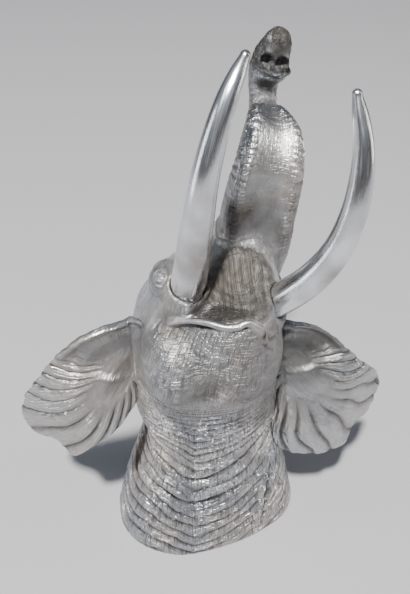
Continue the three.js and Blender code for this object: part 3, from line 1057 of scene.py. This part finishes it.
def metal_tone_group():
    """Cast metal's colour: bright on the ridges, dark in the creases (painted shade) and in the chased lines
    (patina and painted shade), darker where Darkened says, with cool and warm patches.
    """
    tree, given, leave = group_shell(
        "Cast metal tone",
        {
            "Position": None, "Relief": 0.0, "Lines": 1.0, "Groove shade": 0.35, "Darkened": 0.0,
            "Bright": (0.7, 0.71, 0.73, 1), "Dark": (0.12, 0.12, 0.13, 1), "Patchiness": 0.5,
        },
        {"Color": "NodeSocketColor", "Rough patches": "NodeSocketFloat"},
    )
    patches = noise(tree, (-650, 300), given["Position"], 9.0, 4.0, 0.6)
    tint = colour_ramp(tree, (-400, 300), patches, (0.36, COOL_TINT), (0.62, WARM_TINT))
    depth = spread(tree, (-400, -50), given["Relief"], DARKEST_RELIEF, BRIGHTEST_RELIEF)
    lined = spread(tree, (-400, -300), given["Lines"], 0.0, 1.0, given["Groove shade"])
    # Painted shade in the carving's creases, patina and painted shade in the chased lines, and the painted
    # shade and darker tone of Darkened.
    free_of_shade_and_patina = maths(tree, (-250, -150), "MULTIPLY", depth, lined)
    kept = maths(tree, (-400, -500), "SUBTRACT", 1.0, given["Darkened"])
    free_of_shade_and_patina = maths(tree, (-150, -300), "MULTIPLY", free_of_shade_and_patina, kept)
    shade = colour_mix(tree, (-100, 0), free_of_shade_and_patina, given["Dark"], given["Bright"])
    tinted = colour_mix(tree, (200, 100), given["Patchiness"], shade, tint, blend_type="MULTIPLY")
    feed(tree, leave.inputs["Color"], tinted)
    feed(tree, leave.inputs["Rough patches"], patches)
    return tree


def new_material(name):
    """A material, its node tree and its shader's inputs, which the caller sets."""
    material = bpy.data.materials.new(name)
    material.use_nodes = True
    tree = material.node_tree
    tree.nodes.clear()
    shader = node(tree, "ShaderNodeBsdfPrincipled", (500, 0))
    node(tree, "ShaderNodeOutputMaterial", (800, 0), {"Surface": shader.outputs[0]})
    return material, tree, shader.inputs


GRAIN_SCALE = 420.0
GRAIN_HEIGHT = 0.35
LINE_DEPTH = 0.0013
DARKENED_ROUGHNESS = 0.4


def cast_material(name, bright, dark, line_pitch, across, groove_shade, strength, roughness):
    """Chased cast aluminium for one area of the hide."""
    material, tree, shader = new_material(name)
    groups = {
        label: bpy.data.node_groups.get(label) or make()
        for label, make in (("Chased hide lines", hatching_group), ("Cast metal tone", metal_tone_group))
    }
    hide = attribute(tree, (-900, 0), "hide", "Vector")
    darkened = attribute(tree, (-900, -300), "darkened")
    lined = attribute(tree, (-900, -500), "lined")
    place = object_place(tree, (-900, 300))
    relief = node(tree, "ShaderNodeSeparateXYZ", (-700, -150), {0: hide}).outputs["Z"]
    line_inputs = {"Hide": hide, "Line pitch": line_pitch, "Across": across}
    lines = node(tree, "ShaderNodeGroup", (-400, -150), line_inputs, node_tree=groups["Chased hide lines"])
    groove = maths(tree, (-250, -650), "SUBTRACT", 1.0, lines.outputs["Height"])
    kept_groove = maths(tree, (-100, -650), "MULTIPLY", groove, lined)
    line_height = maths(tree, (50, -650), "SUBTRACT", 1.0, kept_groove)
    tone_inputs = {
        "Position": place, "Relief": relief, "Lines": line_height, "Groove shade": groove_shade,
        "Darkened": darkened, "Bright": bright, "Dark": dark,
    }
    tone = node(tree, "ShaderNodeGroup", (-400, 250), tone_inputs, node_tree=groups["Cast metal tone"])
    grain = noise(tree, (-400, -400), place, GRAIN_SCALE, 3.0, 0.6)
    softened = maths(tree, (-150, -400), "MULTIPLY", grain, GRAIN_HEIGHT)
    height = maths(tree, (50, -250), "ADD", line_height, softened)
    bump_inputs = {"Strength": strength, "Distance": LINE_DEPTH, "Height": height}
    bump = node(tree, "ShaderNodeBump", (250, -250), bump_inputs)
    rough = spread(tree, (50, 100), tone.outputs["Rough patches"], 0.35, 0.65, *roughness)
    duller = maths(tree, (50, 250), "MULTIPLY", darkened, DARKENED_ROUGHNESS)
    feed(tree, shader["Base Color"], tone.outputs["Color"])
    feed(tree, shader["Roughness"], maths(tree, (250, 200), "ADD", rough, duller))
    feed(tree, shader["Normal"], bump.outputs["Normal"])
    feed(tree, shader["Metallic"], 1.0)
    return material


def polished_material(bright, dark):
    """Polished tusk metal with long hand-polishing lines and a few duller patches."""
    material, tree, shader = new_material("polished_aluminium")
    hide = attribute(tree, (-900, 0), "hide", "Vector")
    lines = noise(tree, (-400, 0), stretched(tree, (-650, 0), hide, (0.5, 0.02, 0.0)), 1.3, 4.0, 0.6, "2D")
    patches = noise(tree, (-400, 300), object_place(tree, (-900, 300)), 14.0, 3.0)
    bump = node(tree, "ShaderNodeBump", (200, -250), {"Strength": 0.25, "Distance": 0.0006, "Height": lines})
    feed(tree, shader["Base Color"], colour_ramp(tree, (-100, 300), patches, (0.35, dark), (0.6, bright)))
    feed(tree, shader["Roughness"], spread(tree, (-100, 0), lines, 0.3, 0.7, 0.14, 0.3))
    feed(tree, shader["Normal"], bump.outputs["Normal"])
    feed(tree, shader["Metallic"], 1.0)
    return material


def floor_material(colour):
    """Matt pale floor with a faint cloudiness."""
    material, tree, shader = new_material("pale_floor")
    cloud = noise(tree, (-400, 0), object_place(tree, (-600, 0)), 1.5, 2.0)
    darker = [value * 0.985 for value in colour[:3]] + [1]
    feed(tree, shader["Base Color"], colour_ramp(tree, (-100, 0), cloud, (0.0, darker), (1.0, colour)))
    feed(tree, shader["Roughness"], 0.9)
    return material


# Settings

class CastingSettings(bpy.types.PropertyGroup):
    skin_step: bpy.props.FloatProperty(
        name="Skin step", description="Grid step of the casting's skin in millimetres",
        default=2.4, min=1.5, max=8,
    )
    triangles: bpy.props.IntProperty(
        name="Triangles", description="Most triangles in the casting", default=196000, min=10000,
    )
    bright: bpy.props.FloatVectorProperty(
        name="Ridge colour", description="Metal on the ridges", subtype="COLOR", size=4,
        default=(0.56, 0.56, 0.565, 1), min=0, max=1,
    )
    dark: bpy.props.FloatVectorProperty(
        name="Crease colour", description="Metal in the creases", subtype="COLOR", size=4,
        default=(0.05, 0.044, 0.038, 1), min=0, max=1,
    )
    line_pitch: bpy.props.FloatProperty(
        name="Line pitch", description="Spacing of the chased lines in millimetres",
        default=3.1, min=0.5, max=10,
    )


class EarSettings(bpy.types.PropertyGroup):
    rows: bpy.props.IntProperty(
        name="Rows", description="Rows of faces from the ear's root to its rim", default=84, min=10,
    )
    columns: bpy.props.IntProperty(
        name="Columns", description="Faces round the ear's rim", default=500, min=40,
    )
    bright: bpy.props.FloatVectorProperty(
        name="Ridge colour", description="Metal on the ear's ridges", subtype="COLOR", size=4,
        default=(0.52, 0.525, 0.53, 1), min=0, max=1,
    )
    line_pitch: bpy.props.FloatProperty(
        name="Line pitch", description="Spacing of the chased lines in millimetres",
        default=4.5, min=0.5, max=10,
    )


class TuskSettings(bpy.types.PropertyGroup):
    rows: bpy.props.IntProperty(name="Rows", description="Rings along a tusk", default=170, min=20)
    sides: bpy.props.IntProperty(name="Sides", description="Faces round a tusk", default=56, min=8)
    bright: bpy.props.FloatVectorProperty(
        name="Polish colour", description="Polished metal", subtype="COLOR", size=4,
        default=(0.74, 0.76, 0.79, 1), min=0, max=1,
    )
    dark: bpy.props.FloatVectorProperty(
        name="Dull colour", description="Duller patches of the polish", subtype="COLOR", size=4,
        default=(0.33, 0.315, 0.3, 1), min=0, max=1,
    )


class StageSettings(bpy.types.PropertyGroup):
    floor_colour: bpy.props.FloatVectorProperty(
        name="Floor colour", description="Pale floor", subtype="COLOR", size=4,
        default=(0.26, 0.26, 0.272, 1), min=0, max=1,
    )
    camera_height: bpy.props.FloatProperty(
        name="Camera height", description="Height of the camera over the floor",
        default=1.027, unit="LENGTH",
    )
    camera_tilt: bpy.props.FloatProperty(
        name="Camera tilt", description="How far the camera looks down",
        default=math.radians(42), subtype="ANGLE",
    )
    camera_side: bpy.props.FloatProperty(
        name="Camera side", description="Camera's angle round the sculpture",
        default=math.radians(-8), subtype="ANGLE",
    )
    camera_lens: bpy.props.FloatProperty(
        name="Camera lens", description="Focal length in millimetres on a 36 mm sensor",
        default=42.4, min=10,
    )


# Operators

HEAD_FINISH = {"across": 1.0, "groove_shade": 0.3, "strength": 1.1, "roughness": (0.26, 0.44)}
EAR_FINISH = {"across": 0.25, "groove_shade": 0.62, "strength": 0.5, "roughness": (0.2, 0.36)}


def finish_piece(piece, cad_node, material):
    """Gives a piece its material, ties it to the body and puts it in place of a CAD node."""
    piece.data.materials.append(material)
    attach(piece, "root")
    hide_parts(cad_node)


class ELEPHANT_OT_casting(bpy.types.Operator):
    """Builds the neck, jaw, skull and trunk as one casting."""

    bl_idname = "elephant.casting"
    bl_label = "Build the casting"

    def execute(self, context):
        settings = context.scene.elephant_casting
        step = settings.skin_step
        piece = build_casting(step, settings.triangles)
        material = cast_material(
            "cast_aluminium", settings.bright, settings.dark, settings.line_pitch, **HEAD_FINISH,
        )
        finish_piece(piece, "head", material)
        return {"FINISHED"}


class ELEPHANT_OT_ears(bpy.types.Operator):
    """Builds both ears as cupped, folded sheets."""

    bl_idname = "elephant.ears"
    bl_label = "Build the ears"

    def execute(self, context):
        settings = context.scene.elephant_ears
        dark = context.scene.elephant_casting.dark
        material = cast_material("ear_aluminium", settings.bright, dark, settings.line_pitch, **EAR_FINISH)
        for side in EARS:
            piece = build_ear(side, settings.rows, settings.columns)
            finish_piece(piece, "head", material)
        return {"FINISHED"}


class ELEPHANT_OT_tusks(bpy.types.Operator):
    """Builds both polished tusks in their sockets."""

    bl_idname = "elephant.tusks"
    bl_label = "Build the tusks"

    def execute(self, context):
        settings = context.scene.elephant_tusks
        material = polished_material(settings.bright, settings.dark)
        for name in TUSK_PATHS:
            piece = build_tusk(name, settings.rows, settings.sides)
            finish_piece(piece, name, material)
        return {"FINISHED"}


FLOOR_EDGE = 6.0
LIGHT_TARGET = (0.0, 0.0, 0.35)

# Name, place, width and height, power and colour of each area light.
LIGHTS = [
    ("key", (-0.9, -2.5, 5.9), (0.36, 0.36), 1520, (1.0, 0.98, 0.95)),
    ("left", (-2.2, -0.2, 0.9), (0.5, 1.8), 16, (0.9, 0.94, 1.0)),
    ("right", (2.2, -0.2, 1.1), (0.4, 1.6), 14, (1.0, 0.95, 0.88)),
]

# The room's colour from below, through the level of the horizon, to overhead.
ROOM_LOW = (0.0, (0.16, 0.15, 0.14, 1))
ROOM_LEVEL = (0.22, (0.2, 0.2, 0.21, 1))
ROOM_HIGH = (0.75, (0.62, 0.7, 0.82, 1))
ROOM_STRENGTH = 0.55

SENSOR_WIDTH = 36
IMAGE_SIZE = (410, 594)
BASE_PIXEL = (205, 497)


def add_floor(colour):
    mesh = bpy.data.meshes.new("floor")
    corners = [(x * FLOOR_EDGE, y * FLOOR_EDGE, 0) for x, y in ((-1, -1), (1, -1), (1, 1), (-1, 1))]
    mesh.from_pydata(corners, [], [(0, 1, 2, 3)])
    mesh.materials.append(floor_material(colour))
    floor = bpy.data.objects.new("floor", mesh)
    bpy.context.scene.collection.objects.link(floor)


def add_area_light(name, place, size, power, colour):
    data = bpy.data.lights.new(name, "AREA")
    data.shape = "RECTANGLE"
    data.size, data.size_y = size
    data.energy = power
    data.color = colour
    lamp = bpy.data.objects.new(name, data)
    lamp.location = place
    lamp.rotation_euler = (Vector(LIGHT_TARGET) - Vector(place)).to_track_quat("-Z", "Y").to_euler()
    bpy.context.scene.collection.objects.link(lamp)


def add_room():
    """A soft room: bright overhead, dimmer and warmer level with the sculpture."""
    world = bpy.data.worlds.new("soft_room")
    bpy.context.scene.world = world
    world.use_nodes = True
    tree = world.node_tree
    place = node(tree, "ShaderNodeTexCoord", (-800, 0)).outputs["Generated"]
    height = node(tree, "ShaderNodeSeparateXYZ", (-600, 0), {0: place}).outputs["Z"]
    background = tree.nodes["Background"]
    colour = colour_ramp(tree, (-400, 0), height, ROOM_LOW, ROOM_HIGH, ROOM_LEVEL)
    feed(tree, background.inputs["Color"], colour)
    feed(tree, background.inputs["Strength"], ROOM_STRENGTH)


def camera_place(settings):
    """The camera's backward direction and place, with the base's middle at its pixel of the photograph."""
    tilt, side = settings.camera_tilt, settings.camera_side
    back = Vector((math.sin(side) * math.cos(tilt), -math.cos(side) * math.cos(tilt), math.sin(tilt)))
    right = Vector((math.cos(side), math.sin(side), 0))
    down = (-back).cross(right)
    focal = settings.camera_lens / SENSOR_WIDTH * IMAGE_SIZE[1]
    ray = -back + right * ((BASE_PIXEL[0] - IMAGE_SIZE[0] / 2) / focal)
    ray += down * ((BASE_PIXEL[1] - IMAGE_SIZE[1] / 2) / focal)
    return back, ray * (settings.camera_height / ray.z)


def add_camera(settings):
    data = bpy.data.cameras.new("camera")
    data.sensor_width = SENSOR_WIDTH
    data.lens = settings.camera_lens
    camera = bpy.data.objects.new("camera", data)
    back, eye = camera_place(settings)
    camera.location = eye
    camera.rotation_euler = back.to_track_quat("Z", "Y").to_euler()
    bpy.context.scene.collection.objects.link(camera)
    bpy.context.scene.camera = camera


class ELEPHANT_OT_stage(bpy.types.Operator):
    """Sets the pale floor, the soft lights and the camera."""

    bl_idname = "elephant.stage"
    bl_label = "Set the stage"

    def execute(self, context):
        settings = context.scene.elephant_stage
        add_floor(settings.floor_colour)
        add_room()
        for light in LIGHTS:
            add_area_light(*light)
        add_camera(settings)
        return {"FINISHED"}


class ELEPHANT_PT_panel(bpy.types.Panel):
    """Lists the sculpture's settings and the operators that build it."""

    bl_label = "Elephant head"
    bl_idname = "ELEPHANT_PT_panel"
    bl_space_type = "VIEW_3D"
    bl_region_type = "UI"
    bl_category = "Elephant head"

    def draw(self, context):
        layout = self.layout
        for operator, settings_name in OPERATORS:
            settings = getattr(context.scene, settings_name)
            box = layout.box()
            for key in settings.__annotations__:
                box.prop(settings, key)
            box.operator(operator.bl_idname)


OPERATORS = [
    (ELEPHANT_OT_casting, "elephant_casting"),
    (ELEPHANT_OT_ears, "elephant_ears"),
    (ELEPHANT_OT_tusks, "elephant_tusks"),
    (ELEPHANT_OT_stage, "elephant_stage"),
]
SETTINGS = {
    "elephant_casting": CastingSettings,
    "elephant_ears": EarSettings,
    "elephant_tusks": TuskSettings,
    "elephant_stage": StageSettings,
}


def register():
    for name, group in SETTINGS.items():
        bpy.utils.register_class(group)
        setattr(bpy.types.Scene, name, bpy.props.PointerProperty(type=group))
    for operator, _ in OPERATORS:
        bpy.utils.register_class(operator)
    bpy.utils.register_class(ELEPHANT_PT_panel)


def unregister():
    bpy.utils.unregister_class(ELEPHANT_PT_panel)
    for operator, _ in OPERATORS:
        bpy.utils.unregister_class(operator)
    for name, group in SETTINGS.items():
        delattr(bpy.types.Scene, name)
        bpy.utils.unregister_class(group)


def main():
    register()
    bpy.ops.elephant.stage()
    bpy.ops.elephant.casting()
    bpy.ops.elephant.ears()
    bpy.ops.elephant.tusks()


if __name__ == "__main__":
    main()
